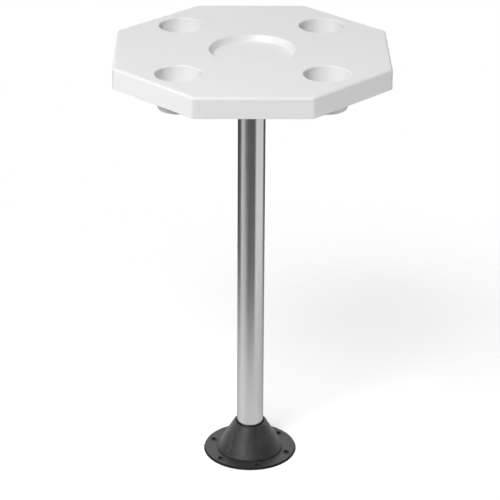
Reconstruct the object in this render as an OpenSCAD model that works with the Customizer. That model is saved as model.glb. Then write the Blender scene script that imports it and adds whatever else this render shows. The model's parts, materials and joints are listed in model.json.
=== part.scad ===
// Octagonal pedestal table for a caravan, camper or boat.
// A moulded top with four cup wells and a shallow tray stands on a tapered tube leg.
// The leg is plugged into a flanged socket on the floor and a second one under the top.
// Millimetres, +Z up. The origin is the middle of the floor socket's underside.
// Two edges of the top run along X and two along Y, and the front edge faces -Y.

/* [Table top] */
// Height of the table surface above the floor
table_h = 762; // [500:1:900]
// Width of the top across its flats
top_w = 457; // [420:1:600]
// Depth of the skirt round the top
skirt_h = 36.5; // [26:0.5:60]
// Wall of the moulded top
shell_t = 3.5; // [2.5:0.25:4.5]
// Rounding of the skirt's upright corners
corner_r = 10; // [7:0.5:40]
// Rounding where the surface turns down into the skirt
edge_r = 5; // [2:0.5:6.5]
// How much further out the skirt's foot is than its head
skirt_draft = 0.3; // [0.1:0.1:1.5]

/* [Cup wells] */
// Distance between the centres of neighbouring wells
well_pitch = 240; // [220:1:280]
// Width of a well over its rounded lip
well_rim_d = 81.4; // [70:0.2:90]
// Width of the flat part of a well's floor
well_floor_d = 56; // [40:0.5:60]
// Depth of a well
well_depth = 55.5; // [30:0.5:80]
// Rounding of a well's lip
well_lip_r = 3; // [1:0.25:5]
// Rounding between a well's wall and its floor
well_fillet_r = 4; // [2:0.25:8]
// Wall of a well
well_t = 3; // [2:0.25:4]

/* [Tray] */
// Width of the tray's flat floor
tray_floor_d = 126; // [104:0.5:129]
// How far the tray's wall and its roundings reach out beyond the floor
tray_wall_run = 10.5; // [9.5:0.25:12]
// Depth of the tray
tray_depth = 11.5; // [9:0.25:12]
// Rounding of the tray's lip
tray_lip_r = 2.5; // [1:0.25:3.5]
// Rounding between the tray's wall and its floor
tray_fillet_r = 4; // [2:0.25:4.5]

/* [Underside of the top] */
// Depth of the plane that the socket is screwed to, below the table surface
mount_drop = 24; // [23:0.5:26]
// Thickness of the ribs
rib_t = 2.5; // [1.5:0.25:4]
// Middle radius of the inner ring rib
inner_ring_r = 48; // [30:1:56]
// Middle radius of the outer ring rib
outer_ring_r = 85; // [84:0.5:92]
// Width of a screw boss
boss_d = 12; // [9:0.5:14]

/* [Leg] */
// Outside width of the tube
leg_d = 47; // [40:0.5:52]
// Wall of the tube
leg_t = 1.8; // [1.2:0.1:3]
// Length of the tapered stretch at each end
taper_l = 49; // [30:0.5:60]
// How much narrower the tube is at its very end
taper_drop = 2.8; // [1:0.1:5]
// Bevel round the tube's ends
end_bevel = 0.4; // [0.2:0.1:0.8]

/* [Sockets] */
// Width of the cone at its foot
foot_d = 118; // [106:1:124]
// How far the flange reaches out beyond the foot of the cone
flange_w = 23; // [21:0.5:28]
// Thickness of the flange
flange_t = 3.2; // [3:0.1:4.5]
// Rounding of the flange's upper edge
rim_r = 1.75; // [1:0.25:2]
// Height of the step at the cone's foot above the mounting face
foot_h = 6.8; // [6.6:0.1:10]
// Rounding of the step
bead_r = 1.6; // [0.5:0.1:2]
// Height of the socket's mouth above the mounting face
lip_h = 55.4; // [40:0.2:75]
// Thickness of the socket's lip
lip_t = 6; // [4.5:0.25:7]
// Bevel that leads the tube into the mouth
lead_in = 2.3; // [1:0.1:2.6]
// Wall of the cone and of the tube inside it
socket_t = 3; // [2:0.25:4]
// Height of the seat that the tube stands on
seat_h = 8; // [6:0.5:12]
// Thickness of the seat
seat_t = 4; // [2.5:0.25:5]
// How far the seat reaches in under the tube
seat_reach = 6; // [3:0.5:10]
// Clearance between the tube and the socket all round
fit_gap = 0.1; // [0.05:0.05:0.3]

/* [Screws] */
// Number of screws in a flange
screw_n = 6; // [4:1:6]
// Distance of the screw circle in from the flange's edge
screw_inset = 13; // [12.5:0.25:13.5]
// Width of a screw hole in the floor socket
floor_hole_d = 5.5; // [5.2:0.1:6]
// Width of a screw hole in the table socket, for its thinner screws
table_hole_d = 5; // [4.7:0.1:5.1]
// Width of a countersink at its mouth
countersink_d = 11; // [9.5:0.1:11.5]
// Width of the flat pad round a hole
pad_d = 15; // [13:0.25:15.5]
// Height of the pad above the flange
pad_h = 0.6; // [0.3:0.1:1]
// Direction of the first hole of the floor socket
floor_turn = 40.5; // [0:0.5:60]
// Direction of the first hole of the table socket
table_turn = 30; // [0:0.5:60]
// Width of a screw's shank
shank_d = 4; // [3.5:0.1:4.6]
// Length of a screw
screw_l = 13; // [10.5:0.5:14]

/* [Hidden] */
$fn = 96;
corner_fn = 32;
side_n = 8;
side_turn = 360 / side_n;
half_turn = side_turn / 2;
arc_steps = 8;

// Small overlap that joins one moulded form to the next
bite = 1;
// Rounding of the skirt's lower edge
skirt_foot_r = 0.8;
// Rounding inside the shell, between the plate and the skirt
inner_edge_r = max(edge_r - shell_t, 0.5);
// Rounding under a well or under the tray
outer_fillet_r = 2.5;
// Free depth beyond a screw's tip
pilot_extra = 1;
// Clearance between a screw's shank and its pilot hole
pilot_gap = 0.05;
// Upright rim of a screw's head
head_rim = 0.4;
// Length of a screw's point
point_l = 3;
// Cross recess in a screw's head: length, width and depth
recess_l = 5;
recess_w = 1;
recess_h = 1.6;
// Rounding outside the socket's mouth
lip_r = 1;
// Bevel under the flange's edge
flange_bevel = 0.5;

mount_z = table_h - mount_drop;
leg_r = leg_d / 2;
end_r = leg_r - taper_drop;
leg_bottom = seat_h;
leg_top = mount_z - seat_h;
tray_rim_d = tray_floor_d + 2 * tray_wall_run;
foot_r = foot_d / 2;
flange_r = foot_r + flange_w;
screw_pcd = 2 * (flange_r - screw_inset);
head_r = countersink_d / 2 - head_rim;

// Radius of the tube, at a height above the end that stands on a seat
function tube_r(h) = end_r + taper_drop * min(h / taper_l, 1);

bore_end_r = end_r + fit_gap;
bore_mouth_r = tube_r(lip_h - seat_h) + fit_gap;
lip_out_r = bore_mouth_r + lip_t;

// Points along an arc, both ends included
function arc(x, y, r, from, to) =
    [for (i = [0:arc_steps]) let (a = from + (to - from) * i / arc_steps) [x + r * cos(a), y + r * sin(a)]];

// A dish pressed down into the plate. Its lip is rounded with lip, its floor is flat out to
// floor_r, and one straight wall runs between the lip and the fillet at the floor.
// The wall's normal points into the dish, at this angle from the radius.
function wall_angle(rim, floor_r, depth, lip, fillet) =
    let (dx = floor_r - rim, dy = lip + fillet - depth)
    atan2(dy, dx) + (dy < 0 ? 360 : 0) - acos((lip + fillet) / norm([dx, dy]));

// Half section of the space inside a dish
function dish_space(rim, floor_r, depth, lip, fillet) =
    let (a = wall_angle(rim, floor_r, depth, lip, fillet))
    concat(
        [[0, bite], [rim, bite]],
        arc(rim, -lip, lip, 90, a),
        arc(floor_r, fillet - depth, fillet, a - 180, -90),
        [[0, -depth]]
    );

// Half section of a dish's outside, from inside the plate down to its bottom
function dish_outside(rim, floor_r, depth, lip, fillet, wall) =
    let (
        a = wall_angle(rim, floor_r, depth, lip, fillet),
        top = -bite,
        low = outer_fillet_r - depth - wall,
        top_x = rim + (lip - wall - (top + lip) * sin(a)) / cos(a),
        low_x = rim + (lip - wall + outer_fillet_r - (low + lip) * sin(a)) / cos(a)
    )
    concat([[0, top], [top_x, top]], arc(low_x, low, outer_fillet_r, a - 180, -90), [[0, -depth - wall]]);

// One upright corner of an eight-sided block, from z = 0 down
module corner_post(height, foot, head, foot_round, head_round) {
    rotate_extrude($fn = corner_fn)
        polygon(concat(
            [[0, 0], [0, -height]],
            foot_round > 0 ? arc(foot - foot_round, foot_round - height, foot_round, -90, 0) : [[foot, -height]],
            arc(head - head_round, -head_round, head_round, 0, 90)
        ));
}

// Block with eight flat sides, its corners rounded to the width of its corner posts
module octagon_block(across, corner, height, foot, head, foot_round, head_round) {
    hull()
        for (i = [0:side_n - 1])
            rotate(half_turn + i * side_turn)
                translate([(across / 2 - corner) / cos(half_turn), 0, 0])
                    corner_post(height, foot, head, foot_round, head_round);
}

module at_wells() {
    for (x = [-1, 1], y = [-1, 1])
        translate([x * well_pitch / 2, y * well_pitch / 2, 0])
            children();
}

module at_screws(turn) {
    for (i = [0:screw_n - 1])
        rotate(turn + i * 360 / screw_n)
            translate([screw_pcd / 2, 0, 0])
                children();
}

// Plate and skirt as one open-bottomed shell, with its surface at z = 0
module top_shell() {
    head = corner_r - skirt_draft;
    difference() {
        octagon_block(top_w, corner_r, skirt_h, corner_r, head, skirt_foot_r, edge_r);
        translate([0, 0, -shell_t])
            octagon_block(
                top_w, corner_r, skirt_h - shell_t + bite,
                corner_r - shell_t, head - shell_t, 0, inner_edge_r
            );
    }
}

// Rib from the inner ring out to the skirt, with its lower edge in the mounting plane
module radial_rib(reach) {
    translate([inner_ring_r, -rib_t / 2, -mount_drop])
        cube([reach - inner_ring_r, rib_t, mount_drop - bite]);
}

module ring_rib(middle_r) {
    translate([0, 0, -mount_drop])
        rotate_extrude()
            translate([middle_r - rib_t / 2, 0])
                square([rib_t, mount_drop - bite]);
}

module underside_ribs() {
    flat_reach = (top_w - shell_t) / 2;
    corner_reach = (top_w / 2 - corner_r) / cos(half_turn) + corner_r - shell_t / 2;
    for (i = [0:side_n - 1]) {
        rotate(i * side_turn)
            radial_rib(flat_reach);
        rotate(half_turn + i * side_turn)
            radial_rib(corner_reach);
    }
    ring_rib(inner_ring_r);
    ring_rib(outer_ring_r);
    at_screws(table_turn)
        translate([0, 0, -mount_drop])
            cylinder(d = boss_d, h = mount_drop - bite);
}

// The whole moulding is one piece: shell, wells, tray, ribs and screw bosses
module table_top() {
    pilot_h = screw_l - flange_t - pad_h + pilot_extra;
    well_r = well_rim_d / 2;
    tray_r = tray_rim_d / 2;
    color("whitesmoke")
        translate([0, 0, table_h])
            difference() {
                union() {
                    top_shell();
                    at_wells()
                        rotate_extrude()
                            polygon(dish_outside(
                                well_r, well_floor_d / 2, well_depth, well_lip_r, well_fillet_r, well_t
                            ));
                    rotate_extrude()
                        polygon(dish_outside(
                            tray_r, tray_floor_d / 2, tray_depth, tray_lip_r, tray_fillet_r, shell_t
                        ));
                    underside_ribs();
                }
                at_wells()
                    rotate_extrude()
                        polygon(dish_space(
                            well_r, well_floor_d / 2, well_depth, well_lip_r, well_fillet_r
                        ));
                rotate_extrude()
                    polygon(dish_space(
                        tray_r, tray_floor_d / 2, tray_depth, tray_lip_r, tray_fillet_r
                    ));
                at_screws(table_turn)
                    translate([0, 0, -mount_drop - bite])
                        cylinder(d = shank_d + 2 * pilot_gap, h = pilot_h + bite);
            }
}

// Flanged socket, standing on z = 0 with its mouth up: a thin cone with a tapered tube
// inside it, ribs between the two, and an open underside
module socket(turn, hole_d) {
    countersink_h = (countersink_d - hole_d) / 2;
    slope = (foot_r - bead_r - lip_out_r) / (lip_h - foot_h);
    cone_wall = socket_t * norm([1, slope]);
    // Outside of the inner tube, at its foot and where it runs into the cone
    core_low_r = bore_end_r + socket_t;
    core_top_r = bore_mouth_r + socket_t;
    hollow_top = lip_h - (core_top_r + bite + cone_wall - lip_out_r) / slope;
    foot_in_r = foot_r - bead_r - cone_wall;
    // Inside of the inner tube, below the seat
    under_seat_r = bore_end_r - bite;
    rib_mid = 180 / screw_n;

    color("dimgray")
        difference() {
            union() {
                rotate_extrude()
                    polygon(concat(
                        [
                            [bore_end_r - seat_reach, seat_h - seat_t],
                            [bore_end_r - seat_reach, seat_h],
                            [bore_end_r, seat_h],
                            [bore_mouth_r, lip_h - lead_in],
                            [bore_mouth_r + lead_in, lip_h]
                        ],
                        arc(lip_out_r - lip_r, lip_h - lip_r, lip_r, 90, 0),
                        arc(foot_r - bead_r, foot_h - bead_r, bead_r, 60, 0),
                        [[foot_r, flange_t]],
                        arc(flange_r - rim_r, flange_t - rim_r, rim_r, 90, 0),
                        [
                            [flange_r, flange_bevel],
                            [flange_r - flange_bevel, 0],
                            [foot_in_r, 0],
                            [foot_in_r, foot_h],
                            [core_top_r + bite, hollow_top],
                            [core_top_r, hollow_top],
                            [core_low_r, 0],
                            [under_seat_r, 0],
                            [under_seat_r, seat_h - seat_t]
                        ]
                    ));
                for (i = [0:screw_n - 1])
                    rotate([90, 0, turn + rib_mid + i * 360 / screw_n])
                        linear_extrude(height = rib_t, center = true)
                            polygon([
                                [core_low_r - bite, 0],
                                [foot_in_r + bite, 0],
                                [foot_in_r + bite, foot_h],
                                [core_top_r + bite, hollow_top + bite],
                                [core_top_r - bite, hollow_top + bite]
                            ]);
                at_screws(turn)
                    cylinder(d = pad_d, h = flange_t + pad_h);
            }
            at_screws(turn)
                translate([0, 0, -bite])
                    cylinder(d = hole_d, h = flange_t + pad_h + 2 * bite);
            at_screws(turn)
                translate([0, 0, flange_t + pad_h - countersink_h])
                    cylinder(
                        d1 = hole_d,
                        d2 = countersink_d + 2 * bite,
                        h = countersink_h + bite
                    );
        }
}

module floor_socket() {
    socket(floor_turn, floor_hole_d);
}

module table_socket() {
    translate([0, 0, mount_z])
        mirror([0, 0, 1])
            socket(table_turn, table_hole_d);
}

// Drawn tube with both ends swaged down to the sockets' taper
module leg_tube() {
    length = leg_top - leg_bottom;
    color("silver")
        translate([0, 0, leg_bottom])
            rotate_extrude()
                polygon([
                    [end_r - leg_t, 0],
                    [end_r - end_bevel, 0],
                    [end_r, end_bevel],
                    [leg_r, taper_l],
                    [leg_r, length - taper_l],
                    [end_r, length - end_bevel],
                    [end_r - end_bevel, length],
                    [end_r - leg_t, length],
                    [leg_r - leg_t, length - taper_l],
                    [leg_r - leg_t, taper_l]
                ]);
}

// Countersunk screw, its head in the table socket's flange and its point in a boss
module socket_screw(i) {
    shank_r = shank_d / 2;
    color("lightgray")
        translate([0, 0, mount_z - flange_t - pad_h])
            rotate(table_turn + (i - 1) * 360 / screw_n)
                translate([screw_pcd / 2, 0, 0])
                    difference() {
                        rotate_extrude()
                            polygon([
                                [0, 0],
                                [head_r, 0],
                                [head_r, head_rim],
                                [shank_r, head_rim + head_r - shank_r],
                                [shank_r, screw_l - point_l],
                                [0, screw_l]
                            ]);
                        for (turn = [0, 90])
                            rotate(turn)
                                translate([-recess_l / 2, -recess_w / 2, -bite])
                                    cube([recess_l, recess_w, recess_h + bite]);
                    }
}

table_top();
table_socket();
leg_tube();
floor_socket();
for (i = [1:screw_n])
    socket_screw(i);
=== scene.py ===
"""Looks of the octagonal pedestal table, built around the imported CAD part.

The part's own shapes are all that shows: this script adds materials, a studio and a camera.
Lengths are in metres, and the front of the table faces -Y.
"""
import json
import math

import bpy
from mathutils import Matrix, Vector


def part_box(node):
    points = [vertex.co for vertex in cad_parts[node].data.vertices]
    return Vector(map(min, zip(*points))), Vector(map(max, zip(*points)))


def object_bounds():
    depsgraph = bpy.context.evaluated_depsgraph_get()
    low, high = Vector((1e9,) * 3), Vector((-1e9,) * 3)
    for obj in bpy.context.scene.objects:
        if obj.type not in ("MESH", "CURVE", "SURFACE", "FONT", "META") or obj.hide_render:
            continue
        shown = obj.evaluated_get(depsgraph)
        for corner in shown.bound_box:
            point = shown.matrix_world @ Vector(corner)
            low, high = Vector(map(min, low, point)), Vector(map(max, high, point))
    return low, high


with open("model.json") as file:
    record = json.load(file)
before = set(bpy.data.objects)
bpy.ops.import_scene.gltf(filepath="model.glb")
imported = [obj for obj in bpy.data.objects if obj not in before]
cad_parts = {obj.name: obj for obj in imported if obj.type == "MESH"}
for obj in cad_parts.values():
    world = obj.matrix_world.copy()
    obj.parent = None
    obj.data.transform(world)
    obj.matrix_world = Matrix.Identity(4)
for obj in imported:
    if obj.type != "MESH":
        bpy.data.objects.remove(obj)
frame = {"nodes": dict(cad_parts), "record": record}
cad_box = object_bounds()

scene = bpy.context.scene
nodes = frame["nodes"]


# Places in the part

MM = 0.001
LEG_AXIS = (0, 0)
TABLE_HEIGHT = cad_box[1][2]
FLANGE_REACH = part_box("floor_socket")[1][0]
screw_ring = frame["record"]["mounts"][0]["dims"]
SCREW_COUNT = screw_ring["count"]
SCREW_REACH = screw_ring["pcd_mm"] / 2 * MM
# Turn of each socket's first screw hole, in degrees from +X, as in part.scad
FLOOR_TURN = 40.5
TABLE_TURN = 30


# Camera

# The photograph's viewpoint, found by fitting the table's outline
CAMERA_PLACE = Vector((-0.03439, -3.39666, 1.96737))
CAMERA_PITCH = math.radians(24.8695)
CAMERA_YAW = math.radians(-0.5516)
CAMERA_ROLL = math.radians(0.3083)
CAMERA_NEAREST = 0.1
CAMERA_FURTHEST = 60
# Lens and sensor in millimetres, as Blender counts them
CAMERA_LENS = 155.352
CAMERA_SENSOR = 36


def camera_axes():
    """The camera's right, up and back, turned by its yaw, its pitch down and its roll."""
    right = Vector((math.cos(CAMERA_YAW), math.sin(CAMERA_YAW), 0))
    ahead = Vector((
        -math.sin(CAMERA_YAW) * math.cos(CAMERA_PITCH),
        math.cos(CAMERA_YAW) * math.cos(CAMERA_PITCH),
        -math.sin(CAMERA_PITCH),
    ))
    up = right.cross(ahead)
    rolled_right = math.cos(CAMERA_ROLL) * right + math.sin(CAMERA_ROLL) * up
    rolled_up = -math.sin(CAMERA_ROLL) * right + math.cos(CAMERA_ROLL) * up
    return rolled_right, rolled_up, -ahead


def make_camera():
    """The scene's camera, at the photograph's viewpoint."""
    data = bpy.data.cameras.new("camera")
    data.sensor_width = CAMERA_SENSOR
    data.lens = CAMERA_LENS
    data.clip_start = CAMERA_NEAREST
    data.clip_end = CAMERA_FURTHEST
    camera = bpy.data.objects.new("camera", data)
    scene.collection.objects.link(camera)
    turn = Matrix(camera_axes()).transposed()
    camera.matrix_world = Matrix.Translation(CAMERA_PLACE) @ turn.to_4x4()
    scene.camera = camera


make_camera()


# Node helpers

# Where most of a noise's values lie
NOISE_LOW = 0.3
NOISE_HIGH = 0.7
# A mix node has two inputs and one output for each kind of value, at these places
MIX_SOCKETS = {"FLOAT": (2, 3, 0), "RGBA": (6, 7, 2)}


class Nodes:
    """Short names for building a node tree."""

    def __init__(self, tree):
        self.tree = tree
        tree.nodes.clear()

    def add(self, kind, **values):
        node = self.tree.nodes.new(kind)
        for name, value in values.items():
            setattr(node, name, value)
        return node

    def link(self, start, end):
        self.tree.links.new(start, end)

    def put(self, socket, value):
        """Link another node's output to a socket, or set a plain value on it."""
        if isinstance(value, bpy.types.NodeSocket):
            self.link(value, socket)
        else:
            socket.default_value = value

    def fill(self, node, values):
        """Link or set each of a node's sockets that is named."""
        for name, value in values.items():
            self.put(node.inputs[name], value)

    def show(self, shader, kind="ShaderNodeOutputMaterial"):
        """Make a shader what the tree shows."""
        self.link(shader.outputs[0], self.add(kind).inputs["Surface"])

    def math(self, operation, a, b, clamp=False):
        node = self.add("ShaderNodeMath", operation=operation, use_clamp=clamp)
        self.put(node.inputs[0], a)
        self.put(node.inputs[1], b)
        return node.outputs[0]

    def mix(self, factor, a, b, kind="RGBA"):
        """a where the factor is 0, and b where it is 1."""
        first, second, result = MIX_SOCKETS[kind]
        node = self.add("ShaderNodeMix", data_type=kind)
        self.put(node.inputs["Factor"], factor)
        self.put(node.inputs[first], a)
        self.put(node.inputs[second], b)
        return node.outputs[result]

    def spread(self, value, low, high, from_low=0, from_high=1, step="LINEAR"):
        """low where the value is from_low, high where it is from_high, and no further than these."""
        node = self.add("ShaderNodeMapRange", interpolation_type=step)
        self.fill(node, {
            "Value": value,
            "From Min": from_low,
            "From Max": from_high,
            "To Min": low,
            "To Max": high,
        })
        return node.outputs[0]

    def smooth(self, value, start, end):
        """0 at start, 1 at end, and a soft step between them."""
        return self.spread(value, 0, 1, start, end, "SMOOTHSTEP")

    def band(self, value, low, high, soft):
        """1 between low and high, and 0 outside them."""
        rise = self.smooth(value, low - soft, low + soft)
        fall = self.smooth(value, high + soft, high - soft)
        return self.math("MULTIPLY", rise, fall)

    def scaled(self, place, scale):
        node = self.add("ShaderNodeMapping")
        self.fill(node, {"Vector": place, "Scale": scale})
        return node.outputs[0]

    def split(self, place):
        node = self.add("ShaderNodeSeparateXYZ")
        self.link(place, node.inputs[0])
        return node.outputs

    def distance(self, flat, point):
        """How far a place on the floor plan is from a point of it."""
        node = self.add("ShaderNodeVectorMath", operation="DISTANCE")
        self.put(node.inputs[0], flat)
        self.put(node.inputs[1], (*point, 0))
        return node.outputs["Value"]

    def noise(self, place, scale, detail, roughness=0.5):
        node = self.add("ShaderNodeTexNoise")
        self.fill(node, {"Vector": place, "Scale": scale, "Detail": detail, "Roughness": roughness})
        return node.outputs["Fac"]

    def both(self, noise, other, share):
        """Two noises in one, with the first one's share of it."""
        rest = self.math("MULTIPLY", other, 1 - share)
        return self.math("ADD", self.math("MULTIPLY", noise, share), rest)

    def vary(self, noise, low, high):
        """A number that wanders between low and high as a noise does."""
        return self.spread(noise, low, high, NOISE_LOW, NOISE_HIGH)

    def tones(self, noise, dark, light):
        """A colour that wanders between two others as a noise does."""
        return self.mix(self.vary(noise, 0, 1), dark, light)

    def bump(self, height, depth, strength, over=None):
        """The surface's direction with a bump on it, over another bump if one is given."""
        node = self.add("ShaderNodeBump")
        self.fill(node, {"Height": height, "Distance": depth, "Strength": strength})
        if over is not None:
            self.link(over, node.inputs["Normal"])
        return node.outputs["Normal"]


def grey(value):
    return (value, value, value, 1)


def blank_material(name):
    """A new material, and its empty node tree."""
    material = bpy.data.materials.new(name)
    material.use_nodes = True
    return material, Nodes(material.node_tree)


def new_material(name):
    """A new material, its node tree, its shader and the place on the part."""
    material, n = blank_material(name)
    shader = n.add("ShaderNodeBsdfPrincipled")
    n.show(shader)
    place = n.add("ShaderNodeTexCoord").outputs["Object"]
    return material, n, shader, place


# Materials

# The colours are in linear light. Each range of roughness stays above 0.28 or below 0.27, because
# the denoiser leaves dark specks on a surface that has both.
WHITE_TONES = (grey(0.798), grey(0.826))
WHITE_ROUGHNESS = (0.29, 0.38)
WHITE_IOR = 1.47
WHITE_FLOW = (9, 9, 30)

TUBE_TONES = (grey(0.547), grey(0.657))
TUBE_ROUGHNESS = (0.18, 0.24)
TUBE_MOTTLE = 0.02
TUBE_EDGE_TINT = grey(0.55)
# How the tube's marks are drawn out along it: the smaller the last number, the longer the marks
FINE_MARKS = (1, 1, 0.0035)
BROAD_MARKS = (1, 1, 0.012)
SHORT_MARKS = (1, 1, 0.5)

BLACK_TONES = (grey(0.018), grey(0.040))
BLACK_ROUGHNESS = (0.31, 0.49)
BLACK_IOR = 1.6
BLACK_GLOSS = 0.5
# Painted shade on the flange's rim and in the screw holes: a darker colour and a weaker gloss
PAINTED_SHADE_TONE = grey(0.010)
PAINTED_SHADE_GLOSS = 0.12
# Where the painted shade begins, darker and less glossy: out towards the flange's rim, and in towards
# the middle of a hole
RIM_EDGE = (FLANGE_REACH - 2.2 * MM, FLANGE_REACH - 0.8 * MM)
COUNTERSINK_EDGE = (5.6 * MM, 4.0 * MM)

STEEL_TONES = ((0.52, 0.515, 0.505, 1), (0.66, 0.655, 0.645, 1))
STEEL_ROUGHNESS = (0.29, 0.40)


def white_plastic():
    """Moulded white plastic: even colour, a soft gloss and a very fine moulding grain."""
    material, n, shader, place = new_material("white_plastic")
    cloud = n.noise(place, scale=7, detail=2)
    flow = n.noise(n.scaled(place, WHITE_FLOW), scale=1, detail=4, roughness=0.55)
    patch = n.noise(place, scale=55, detail=3)
    peel = n.bump(n.noise(place, scale=95, detail=2), depth=0.12 * MM, strength=0.35)
    grain = n.bump(n.noise(place, scale=900, detail=1), depth=0.02 * MM, strength=0.3, over=peel)
    n.fill(shader, {
        "Base Color": n.tones(n.both(cloud, flow, share=0.6), *WHITE_TONES),
        "Roughness": n.vary(patch, *WHITE_ROUGHNESS),
        "IOR": WHITE_IOR,
        "Normal": grain,
    })
    return material


def aluminium():
    """Satin aluminium, drawn along the tube's length."""
    material, n, shader, place = new_material("tube_aluminium")
    fine = n.noise(n.scaled(place, FINE_MARKS), scale=1500, detail=3, roughness=0.65)
    broad = n.noise(n.scaled(place, BROAD_MARKS), scale=260, detail=2)
    mottle = n.noise(n.scaled(place, SHORT_MARKS), scale=60, detail=3)
    streak = n.both(fine, broad, share=0.55)
    drawn = n.vary(streak, *TUBE_ROUGHNESS)
    handled = n.vary(mottle, -TUBE_MOTTLE, TUBE_MOTTLE)
    grooves = n.bump(fine, depth=0.06 * MM, strength=0.55)
    n.fill(shader, {
        "Base Color": n.tones(streak, *TUBE_TONES),
        "Metallic": 1,
        "Roughness": n.math("ADD", drawn, handled),
        "Specular Tint": TUBE_EDGE_TINT,
        "Normal": n.bump(broad, depth=0.25 * MM, strength=0.35, over=grooves),
    })
    return material


def screw_holes(turn):
    """The places of a socket's screw holes, its first one at this turn."""
    ways = [math.radians(turn + i * 360 / SCREW_COUNT) for i in range(SCREW_COUNT)]
    return [(SCREW_REACH * math.cos(way), SCREW_REACH * math.sin(way)) for way in ways]


def countersinks(n, flat, turn):
    """1 in the countersinks of a socket's screw holes, and 0 outside them."""
    first, *others = screw_holes(turn)
    nearest = n.distance(flat, first)
    for hole in others:
        nearest = n.math("MINIMUM", nearest, n.distance(flat, hole))
    return n.smooth(nearest, *COUNTERSINK_EDGE)


def black_plastic(name, hole_turn):
    """Black moulded plastic with a light spark-eroded grain, and painted shade on its rim and in its
    screw holes: darker there, with less gloss.
    """
    material, n, shader, place = new_material(name)
    flat = n.scaled(place, (1, 1, 0))
    rim = n.smooth(n.distance(flat, LEG_AXIS), *RIM_EDGE)
    # Painted shade: the rim and the countersinks are made darker and less glossy
    painted_shade = n.math("MAXIMUM", rim, countersinks(n, flat, hole_turn))
    cloud = n.noise(place, scale=60, detail=4, roughness=0.6)
    patch = n.noise(place, scale=120, detail=4, roughness=0.6)
    peel = n.bump(n.noise(place, scale=160, detail=2), depth=0.45 * MM, strength=0.6)
    grain = n.noise(place, scale=1100, detail=2, roughness=0.6)
    n.fill(shader, {
        "Base Color": n.mix(painted_shade, n.tones(cloud, *BLACK_TONES), PAINTED_SHADE_TONE),
        "Roughness": n.vary(patch, *BLACK_ROUGHNESS),
        "IOR": BLACK_IOR,
        "Specular IOR Level": n.spread(painted_shade, BLACK_GLOSS, PAINTED_SHADE_GLOSS),
        "Normal": n.bump(grain, depth=0.08 * MM, strength=0.6, over=peel),
    })
    return material


def screw_steel():
    """Plain stainless steel, turned and lightly scuffed."""
    material, n, shader, place = new_material("screw_steel")
    scuff = n.noise(place, scale=900, detail=4, roughness=0.6)
    grain = n.noise(place, scale=2600, detail=2)
    n.fill(shader, {
        "Base Color": n.tones(scuff, *STEEL_TONES),
        "Metallic": 1,
        "Roughness": n.vary(scuff, *STEEL_ROUGHNESS),
        "Normal": n.bump(grain, depth=0.03 * MM, strength=0.5),
    })
    return material


def dress_nodes():
    """Give each CAD node its material. A node that isn't named here is a screw."""
    steel = screw_steel()
    finish = {
        "table_top": white_plastic(),
        "leg_tube": aluminium(),
        "floor_socket": black_plastic("black_floor", FLOOR_TURN),
        "table_socket": black_plastic("black_table", TABLE_TURN),
    }
    for name, thing in nodes.items():
        thing.data.materials.clear()
        thing.data.materials.append(finish.get(name, steel))


dress_nodes()


# Studio floor

PAPER = grey(0.8)
# Painted shade: the paper's colour under the foot, where the holes show it
PAPER_PAINTED_SHADE = grey(0.03)
# Brightness that the paper glows with: to the camera, so that it shows white, and in gloss a painted
# light, brighter at the left than at the right
PAPER_GLOW = 0.45
GLOSS_LEFT = 0.32
GLOSS_RIGHT = 0.13
GLOSS_SPAN = 0.25
FOOT_REACH = FLANGE_REACH + 1 * MM
# The paper is whole up to one distance from its middle, has faded out at another, and ends beyond it
FLOOR_MIDDLE = (0.12, 0.15)
FLOOR_WHOLE = 0.25
FLOOR_FADED = 1.0
FLOOR_END = 1.02
FLOOR_SIDES = 96
# How far the paper lies below the foot, so that the two don't share a plane
FLOOR_DROP = 0.2 * MM


def seen_rays(n, path):
    """1 for rays that look at a thing, straight from the camera or through something clear."""
    return n.math("ADD", path["Is Camera Ray"], path["Is Transmission Ray"], clamp=True)


def paper_glow(n, here, path):
    """The brightness that the paper glows with: white to the camera without more light, and in gloss a
    painted light, brighter at the left.
    """
    across = n.split(here)["X"]
    # Painted light: in gloss the paper glows brighter at the left than at the right
    shine = n.spread(across, GLOSS_LEFT, GLOSS_RIGHT, -GLOSS_SPAN, GLOSS_SPAN)
    in_gloss = n.math("MULTIPLY", path["Is Glossy Ray"], shine)
    return n.math("ADD", n.math("MULTIPLY", seen_rays(n, path), PAPER_GLOW), in_gloss)


def paper_cover(n, here, path, beyond_foot):
    """1 where the paper is solid, and 0 where it is clear."""
    near = n.smooth(n.distance(here, FLOOR_MIDDLE), FLOOR_FADED, FLOOR_WHOLE)
    # Clear from below, so that the part's underside shows there
    above = n.math("SUBTRACT", 1, n.add("ShaderNodeNewGeometry").outputs["Backfacing"])
    # Under the foot, where the painted shade lies, solid to the camera only, so that light reaches the
    # socket's underside
    solid = n.math("MAXIMUM", beyond_foot, path["Is Camera Ray"])
    return n.math("MULTIPLY", n.math("MULTIPLY", near, above), solid)


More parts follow.
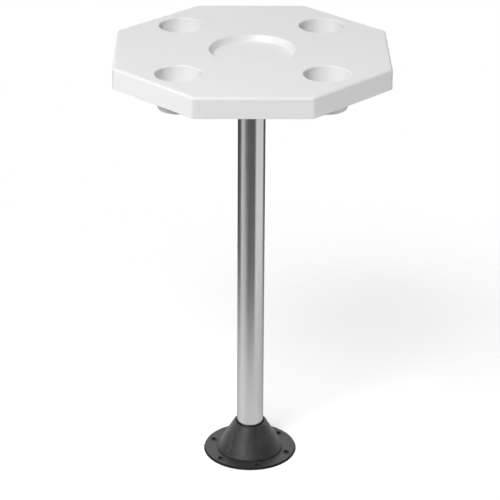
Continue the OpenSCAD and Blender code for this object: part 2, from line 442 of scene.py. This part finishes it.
def paper():
    """White paper that fades out into the background, with painted shade under the foot: dark there, and
    without glow.
    """
    material, n = blank_material("floor")
    here = n.add("ShaderNodeTexCoord").outputs["Object"]
    path = n.add("ShaderNodeLightPath").outputs
    beyond_foot = n.math("GREATER_THAN", n.distance(here, LEG_AXIS), FOOT_REACH)
    diffuse = n.add("ShaderNodeBsdfDiffuse")
    # Painted shade: the paper is dark under the foot and has no glow there
    n.put(diffuse.inputs["Color"], n.mix(beyond_foot, PAPER_PAINTED_SHADE, PAPER))
    glow = n.add("ShaderNodeEmission")
    n.put(glow.inputs["Strength"], n.math("MULTIPLY", paper_glow(n, here, path), beyond_foot))
    sheet = n.add("ShaderNodeAddShader")
    n.link(diffuse.outputs[0], sheet.inputs[0])
    n.link(glow.outputs[0], sheet.inputs[1])
    fade = n.add("ShaderNodeMixShader")
    n.link(paper_cover(n, here, path, beyond_foot), fade.inputs[0])
    n.link(n.add("ShaderNodeBsdfTransparent").outputs[0], fade.inputs[1])
    n.link(sheet.outputs[0], fade.inputs[2])
    n.show(fade)
    return material


def make_floor():
    """A round sheet of paper under the foot."""
    ring = []
    for i in range(FLOOR_SIDES):
        way = math.tau * i / FLOOR_SIDES
        x = FLOOR_MIDDLE[0] + FLOOR_END * math.cos(way)
        y = FLOOR_MIDDLE[1] + FLOOR_END * math.sin(way)
        ring.append((x, y, -FLOOR_DROP))
    mesh = bpy.data.meshes.new("floor")
    mesh.from_pydata(ring, [], [list(range(FLOOR_SIDES))])
    mesh.materials.append(paper())
    floor = bpy.data.objects.new("floor", mesh)
    scene.collection.objects.link(floor)


# Studio background

# What gloss sees. X, Y and Z are those of the way a ray goes, and a level of 1 is white. A turn is
# in radians from the front, below 0 at the left. Between the two values of HORIZON_Z, the upper
# half of the studio gives way to the lower half.
HORIZON_Z = (-0.05, -0.25)
# Upper half: a dim room in front, and a white backdrop behind the table
ROOM_LEVEL = 0.25
BACKDROP_LEVEL = 1
BACKDROP_Y = (0, 0.8)
# Lower half: dark that lightens downwards, and a panel at each side, the left one wider low down
DARK_LEVELS = (0.06, 0.24)
DARK_Z = (-0.35, -0.43)
LEFT_LEVEL = 0.60
LEFT_OUTER = (-1.86, -1.54)
LEFT_INNER = (-0.96, -1.10)
LEFT_LEAN = 0.55
LEFT_LEAN_Z = (-0.375, -0.475)
RIGHT_LEVEL = 0.82
RIGHT_EDGES = (0.64, 2.05)
RIGHT_SOFTNESS = 0.10


def left_panel(n, turn, height):
    """Brightness of the panel at the left, whose inner edge leans towards the front low down."""
    lean = n.spread(height, 0, LEFT_LEAN, *LEFT_LEAN_Z)
    outer = n.smooth(turn, *LEFT_OUTER)
    inner = n.smooth(n.math("SUBTRACT", turn, lean), *LEFT_INNER)
    return n.math("MULTIPLY", n.math("MULTIPLY", outer, inner), LEFT_LEVEL)


def right_panel(n, turn):
    """Brightness of the panel at the right."""
    return n.math("MULTIPLY", n.band(turn, *RIGHT_EDGES, RIGHT_SOFTNESS), RIGHT_LEVEL)


def studio_brightness(n, way):
    """How bright the studio looks to gloss, by the way a ray goes."""
    turn = n.math("ARCTAN2", way["X"], n.math("MULTIPLY", way["Y"], -1))
    upper = n.spread(way["Y"], ROOM_LEVEL, BACKDROP_LEVEL, *BACKDROP_Y)
    panels = n.math("ADD", left_panel(n, turn, way["Z"]), right_panel(n, turn))
    lower = n.math("ADD", panels, n.spread(way["Z"], *DARK_LEVELS, *DARK_Z))
    return n.mix(n.smooth(way["Z"], *HORIZON_Z), upper, lower, kind="FLOAT")


def make_world():
    """A white background that lights nothing, and in gloss the studio."""
    world = bpy.data.worlds.new("studio")
    scene.world = world
    world.use_nodes = True
    n = Nodes(world.node_tree)
    path = n.add("ShaderNodeLightPath").outputs
    way = n.split(n.add("ShaderNodeTexCoord").outputs["Generated"])
    in_gloss = n.math("MULTIPLY", path["Is Glossy Ray"], studio_brightness(n, way))
    shade = n.add("ShaderNodeBackground")
    n.fill(shade, {"Color": grey(1), "Strength": n.math("ADD", in_gloss, seen_rays(n, path))})
    n.show(shade, "ShaderNodeOutputWorld")


# Studio lamps

TOP_MIDDLE = Vector((0, 0, TABLE_HEIGHT - 22 * MM))
LAMP_REACH = 3.2


def softbox(name, turn, rise, size, power, diffuse=True, gloss=True):
    """A square soft lamp aimed at the top; turn goes from the front to the left, rise up, in degrees."""
    turn = math.radians(turn)
    rise = math.radians(rise)
    way = Vector((
        -math.sin(turn) * math.cos(rise),
        -math.cos(turn) * math.cos(rise),
        math.sin(rise),
    ))
    data = bpy.data.lights.new(name, "AREA")
    data.shape = "SQUARE"
    data.size = size
    data.energy = power
    lamp = bpy.data.objects.new(name, data)
    scene.collection.objects.link(lamp)
    lamp.location = TOP_MIDDLE + way * LAMP_REACH
    lamp.rotation_mode = "QUATERNION"
    lamp.rotation_quaternion = (-way).to_track_quat("-Z", "Y")
    lamp.visible_camera = False
    lamp.visible_diffuse = diffuse
    lamp.visible_glossy = gloss


def make_lamps():
    """Lamps round the top, low ones for its skirt and wells, and one for its underside."""
    softbox("key", turn=24, rise=41, size=2.0, power=105, gloss=False)
    softbox("shine", turn=38, rise=38, size=2.2, power=50, diffuse=False)
    softbox("left", turn=95, rise=35, size=1.4, power=14)
    softbox("back", turn=-150, rise=50, size=1.4, power=27, gloss=False)
    softbox("low_left", turn=90, rise=-14, size=1.4, power=40, gloss=False)
    softbox("low_right", turn=-55, rise=-14, size=1.4, power=42, gloss=False)
    softbox("low_back", turn=180, rise=-8, size=1.4, power=34, gloss=False)
    softbox("under", turn=0, rise=-90, size=1.6, power=70)


make_floor()
make_world()
make_lamps()

scene.view_settings.view_transform = "Standard"
